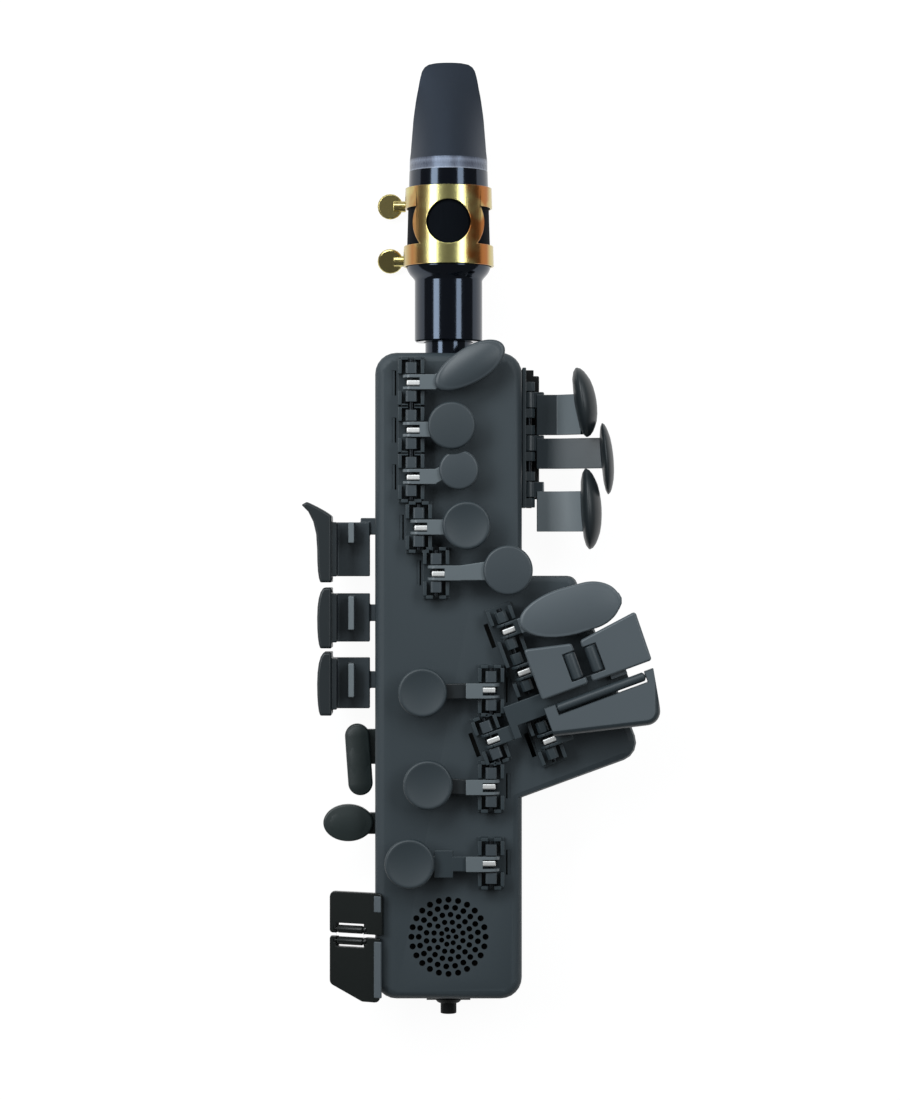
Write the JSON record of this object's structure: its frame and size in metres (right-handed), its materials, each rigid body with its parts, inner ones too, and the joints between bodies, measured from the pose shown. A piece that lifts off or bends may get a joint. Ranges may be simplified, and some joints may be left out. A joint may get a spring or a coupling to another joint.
{
  "type": "digital wind controller",
  "caption": "Saxophone-style digital wind controller: bar-shaped body with a mouthpiece, sprung keys on hinge rods, rollers, palm and side keys, and a speaker grille.",
  "frame": {"origin": "middle of the rear cover's flat back", "axes": "+Z out of the front keys, +Y to the mouthpiece, +X to the right seen from the front"},
  "size_m": [0.1137, 0.3069, 0.0411],
  "materials": {
    "body_shell": "fine matte texture",
    "key_grey": "satin matte",
    "gloss_black": "polished, satin on the beak",
    "soft_black": "matte",
    "brass": "polished",
    "spring_steel": "bright",
    "cane": "bare",
    "board": "solder mask",
    "cell": "pouch foil",
    "driver": "matte"
  },
  "bodies": {
    "housing": {"front_housing": "body_shell", "rear_cover": "body_shell", "circuit_board": "board", "battery": "cell", "speaker_driver": "driver", "neck_tenon": "soft_black", "hinge_cradle_upper": "body_shell", "hinge_cradle_lower": "body_shell", "hinge_cradle_d": "body_shell", "hinge_cradle_table": "body_shell", "palm_key_bracket": "body_shell", "hinge_rod_upper": "spring_steel", "hinge_rod_a": "spring_steel", "hinge_rod_g": "spring_steel", "hinge_rod_f": "spring_steel", "hinge_rod_e": "spring_steel", "hinge_rod_d": "spring_steel", "hinge_rod_low_b": "spring_steel", "hinge_rod_table": "spring_steel", "hinge_rod_b_flat": "spring_steel", "hinge_rod_palm": "spring_steel", "side_key_rod": "spring_steel", "octave_rod": "spring_steel"},
    "key_front_f": {"key_front_f": "key_grey"},
    "key_b": {"key_b": "key_grey"},
    "key_bis": {"key_bis": "key_grey"},
    "key_a": {"key_a": "key_grey"},
    "key_g": {"key_g": "key_grey"},
    "key_f": {"key_f": "key_grey"},
    "key_e": {"key_e": "key_grey"},
    "key_d": {"key_d": "key_grey"},
    "palm_key_1": {"palm_key_1": "key_grey"},
    "palm_key_2": {"palm_key_2": "key_grey"},
    "palm_key_3": {"palm_key_3": "key_grey"},
    "key_g_sharp": {"key_g_sharp": "key_grey"},
    "key_c_sharp": {"key_c_sharp": "key_grey"},
    "key_low_b": {"key_low_b": "key_grey"},
    "key_b_flat": {"key_b_flat": "key_grey"},
    "side_key_1": {"side_key_1": "key_grey"},
    "side_key_2": {"side_key_2": "key_grey"},
    "side_key_3": {"side_key_3": "key_grey"},
    "key_high_f_sharp": {"key_high_f_sharp": "key_grey"},
    "key_side_oval": {"key_side_oval": "key_grey"},
    "key_e_flat": {"key_e_flat": "key_grey"},
    "key_low_c": {"key_low_c": "key_grey"},
    "octave_key": {"octave_key": "key_grey"},
    "roller_c_sharp": {"roller_c_sharp": "key_grey"},
    "roller_low_b": {"roller_low_b": "key_grey"},
    "roller_b_flat": {"roller_b_flat": "key_grey"},
    "roller_e_flat": {"roller_e_flat": "key_grey"},
    "roller_low_c": {"roller_low_c": "key_grey"},
    "mouthpiece": {"mouthpiece": "gloss_black", "reed": "cane", "ligature": "brass"},
    "ligature_screw_upper": {"ligature_screw_upper": "brass"},
    "ligature_screw_lower": {"ligature_screw_lower": "brass"},
    "power_button": {"power_button": "soft_black"}
  },
  "joints": [
    {"name": "key_front_f_press", "type": "hinge", "parent": "housing", "child": "key_front_f", "pos_m": [-0.0118, 0.0932, 0.0322], "axis": [0, 1, 0], "range_deg": [0, 6], "stiffness_Nm_per_rad": 0.02, "springref_deg": -28.65},
    {"name": "key_b_press", "type": "hinge", "parent": "housing", "child": "key_b", "pos_m": [-0.0118, 0.0782, 0.0322], "axis": [0, 1, 0], "range_deg": [0, 7], "stiffness_Nm_per_rad": 0.02, "springref_deg": -28.65},
    {"name": "key_bis_press", "type": "hinge", "parent": "housing", "child": "key_bis", "pos_m": [-0.0118, 0.0633, 0.0322], "axis": [0, 1, 0], "range_deg": [0, 7], "stiffness_Nm_per_rad": 0.02, "springref_deg": -28.65},
    {"name": "key_a_press", "type": "hinge", "parent": "housing", "child": "key_a", "pos_m": [-0.0094, 0.0473, 0.0322], "axis": [0, 1, 0], "range_deg": [0, 7], "stiffness_Nm_per_rad": 0.02, "springref_deg": -28.65},
    {"name": "key_g_press", "type": "hinge", "parent": "housing", "child": "key_g", "pos_m": [-0.0039, 0.0328, 0.0322], "axis": [0, 1, 0], "range_deg": [0, 5], "stiffness_Nm_per_rad": 0.02, "springref_deg": -28.65},
    {"name": "key_f_press", "type": "hinge", "parent": "housing", "child": "key_f", "pos_m": [0.0135, -0.0045, 0.0322], "axis": [0, -1, 0], "range_deg": [0, 6], "stiffness_Nm_per_rad": 0.02, "springref_deg": -28.65},
    {"name": "key_e_press", "type": "hinge", "parent": "housing", "child": "key_e", "pos_m": [0.0135, -0.035, 0.0322], "axis": [0, -1, 0], "range_deg": [0, 6], "stiffness_Nm_per_rad": 0.02, "springref_deg": -28.65},
    {"name": "key_d_press", "type": "hinge", "parent": "housing", "child": "key_d", "pos_m": [0.0135, -0.0593, 0.0322], "axis": [0, -1, 0], "range_deg": [0, 5.5], "stiffness_Nm_per_rad": 0.02, "springref_deg": -28.65},
    {"name": "palm_key_1_press", "type": "hinge", "parent": "housing", "child": "palm_key_1", "pos_m": [0.026, 0.0886, 0.011], "axis": [0, -1, 0], "range_deg": [0, 5.5], "stiffness_Nm_per_rad": 0.02, "springref_deg": -28.65},
    {"name": "palm_key_2_press", "type": "hinge", "parent": "housing", "child": "palm_key_2", "pos_m": [0.026, 0.0746, 0.011], "axis": [0, -1, 0], "range_deg": [0, 5], "stiffness_Nm_per_rad": 0.02, "springref_deg": -28.65},
    {"name": "palm_key_3_press", "type": "hinge", "parent": "housing", "child": "palm_key_3", "pos_m": [0.026, 0.0596, 0.011], "axis": [0, -1, 0], "range_deg": [0, 5.5], "stiffness_Nm_per_rad": 0.02, "springref_deg": -28.65},
    {"name": "key_g_sharp_press", "type": "hinge", "parent": "housing", "child": "key_g_sharp", "pos_m": [0.01834, 0.01463, 0.0326], "axis": [-0.3469, 0.9379, 0], "range_deg": [0, 4.5], "stiffness_Nm_per_rad": 0.03, "springref_deg": -28.65},
    {"name": "key_c_sharp_press", "type": "hinge", "parent": "housing", "child": "key_c_sharp", "pos_m": [0.0232, 0.0015, 0.0326], "axis": [-0.3469, 0.9379, 0], "range_deg": [0, 4.2], "stiffness_Nm_per_rad": 0.03, "springref_deg": -28.65},
    {"name": "key_low_b_press", "type": "hinge", "parent": "housing", "child": "key_low_b", "pos_m": [0.01346, -0.02002, 0.0322], "axis": [-0.3469, 0.9379, 0], "range_deg": [0, 2.6], "stiffness_Nm_per_rad": 0.05, "springref_deg": -28.65},
    {"name": "key_b_flat_press", "type": "hinge", "parent": "housing", "child": "key_b_flat", "pos_m": [0.03118, -0.02007, 0.0326], "axis": [-0.3469, 0.9379, 0], "range_deg": [0, 3.2], "stiffness_Nm_per_rad": 0.04, "springref_deg": -28.65},
    {"name": "side_key_1_press", "type": "hinge", "parent": "housing", "child": "side_key_1", "pos_m": [-0.0172, 0.0477, 0.012], "axis": [0, 1, 0], "range_deg": [0, 6], "stiffness_Nm_per_rad": 0.03, "springref_deg": -28.65},
    {"name": "side_key_2_press", "type": "hinge", "parent": "housing", "child": "side_key_2", "pos_m": [-0.0172, 0.0198, 0.012], "axis": [0, 1, 0], "range_deg": [0, 6], "stiffness_Nm_per_rad": 0.03, "springref_deg": -28.65},
    {"name": "side_key_3_press", "type": "hinge", "parent": "housing", "child": "side_key_3", "pos_m": [-0.0172, -0.0018, 0.012], "axis": [0, 1, 0], "range_deg": [0, 6], "stiffness_Nm_per_rad": 0.03, "springref_deg": -28.65},
    {"name": "key_high_f_sharp_press", "type": "hinge", "parent": "housing", "child": "key_high_f_sharp", "pos_m": [-0.0172, -0.0234, 0.012], "axis": [0, -1, 0], "range_deg": [0, 5], "stiffness_Nm_per_rad": 0.03, "springref_deg": -28.65},
    {"name": "key_side_oval_press", "type": "hinge", "parent": "housing", "child": "key_side_oval", "pos_m": [-0.0172, -0.0482, 0.012], "axis": [0, -1, 0], "range_deg": [0, 5], "stiffness_Nm_per_rad": 0.03, "springref_deg": -28.65},
    {"name": "key_e_flat_press", "type": "hinge", "parent": "housing", "child": "key_e_flat", "pos_m": [-0.0172, -0.0744, 0.012], "axis": [0, -1, 0], "range_deg": [0, 5], "stiffness_Nm_per_rad": 0.03, "springref_deg": -28.65},
    {"name": "key_low_c_press", "type": "hinge", "parent": "housing", "child": "key_low_c", "pos_m": [-0.0172, -0.0934, 0.012], "axis": [0, -1, 0], "range_deg": [0, 5], "stiffness_Nm_per_rad": 0.03, "springref_deg": -28.65},
    {"name": "octave_key_press", "type": "hinge", "parent": "housing", "child": "octave_key", "pos_m": [0, 0.0845, 0.0021], "axis": [-1, 0, 0], "range_deg": [0, 4], "stiffness_Nm_per_rad": 0.02, "springref_deg": -28.65},
    {"name": "roller_c_sharp_spin", "type": "hinge", "parent": "key_c_sharp", "child": "roller_c_sharp", "pos_m": [0.03927, 0.00361, 0.03925], "axis": [-0.3469, 0.9379, 0], "continuous": true},
    {"name": "roller_low_b_spin", "type": "hinge", "parent": "key_low_b", "child": "roller_low_b", "pos_m": [0.04574, 0.006, 0.03925], "axis": [-0.3469, 0.9379, 0], "continuous": true},
    {"name": "roller_b_flat_spin", "type": "hinge", "parent": "key_b_flat", "child": "roller_b_flat", "pos_m": [0.04797, -0.00464, 0.03965], "axis": [0.9379, 0.3469, 0], "continuous": true},
    {"name": "roller_e_flat_spin", "type": "hinge", "parent": "key_e_flat", "child": "roller_e_flat", "pos_m": [-0.0312, -0.0809, 0.02528], "axis": [0.9109, 0, 0.4127], "continuous": true},
    {"name": "roller_low_c_spin", "type": "hinge", "parent": "key_low_c", "child": "roller_low_c", "pos_m": [-0.0312, -0.0846, 0.02528], "axis": [0.9109, 0, 0.4127], "continuous": true},
    {"name": "mouthpiece_slide", "type": "slide", "parent": "housing", "child": "mouthpiece", "axis": [0, 1, 0], "range_m": [0, 0.016]},
    {"name": "ligature_screw_upper_turn", "type": "hinge", "parent": "mouthpiece", "child": "ligature_screw_upper", "pos_m": [0, 0.1521, 0.00255], "axis": [1, 0, 0], "continuous": true},
    {"name": "ligature_screw_lower_turn", "type": "hinge", "parent": "mouthpiece", "child": "ligature_screw_lower", "pos_m": [0, 0.1343, 0.00255], "axis": [1, 0, 0], "continuous": true},
    {"name": "power_button_press", "type": "slide", "parent": "housing", "child": "power_button", "axis": [0, 1, 0], "range_m": [0, 0.0008], "stiffness_N_per_m": 500, "springref_m": -0.002}
  ]
}
